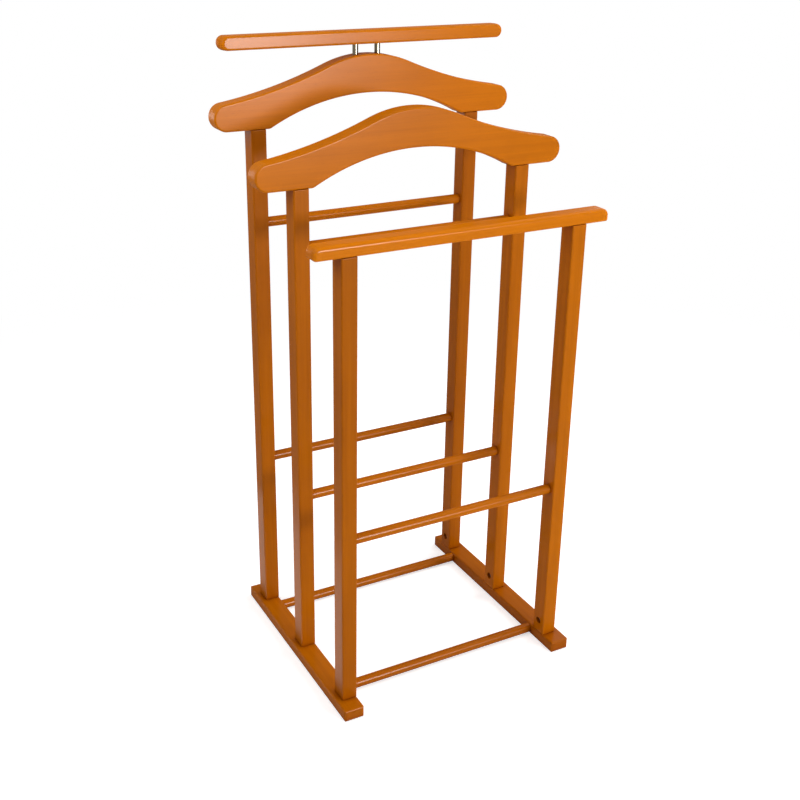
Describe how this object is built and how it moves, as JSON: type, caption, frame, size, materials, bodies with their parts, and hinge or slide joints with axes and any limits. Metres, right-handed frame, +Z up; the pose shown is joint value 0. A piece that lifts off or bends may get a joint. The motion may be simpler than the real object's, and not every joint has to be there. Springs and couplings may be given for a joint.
{
  "type": "clothes valet stand",
  "caption": "Wooden clothes valet stand: stepped posts on a rail base carry coat hangers, a tie bar and a trouser bar.",
  "frame": {"origin": "on the floor, at the centre of the bounding box's base", "axes": "+Z up, +X to the right along the hangers, +Y to the back, where the posts are tallest"},
  "size_m": [0.46, 0.347, 0.88],
  "materials": {
    "stained_wood": "satin orange-brown varnish",
    "polished_steel": "polished",
    "zinc_steel": "zinc plated",
    "plain_wood": "raw"
  },
  "bodies": {
    "root": {"left_base_rail": "stained_wood", "right_base_rail": "stained_wood", "front_base_rung": "stained_wood", "rear_base_rung": "stained_wood", "front_left_post": "stained_wood", "front_right_post": "stained_wood", "middle_left_post": "stained_wood", "middle_right_post": "stained_wood", "rear_left_post": "stained_wood", "rear_right_post": "stained_wood", "front_lower_rung": "stained_wood", "middle_lower_rung": "stained_wood", "rear_lower_rung": "stained_wood", "middle_upper_rung": "stained_wood", "rear_upper_rung": "stained_wood", "front_bar": "stained_wood", "middle_hanger": "stained_wood", "rear_hanger": "stained_wood", "trouser_bar": "stained_wood", "trouser_bar_pins": "polished_steel", "base_bolts": "zinc_steel", "barrel_nuts": "zinc_steel", "top_dowels": "plain_wood"}
  },
  "joints": []
}
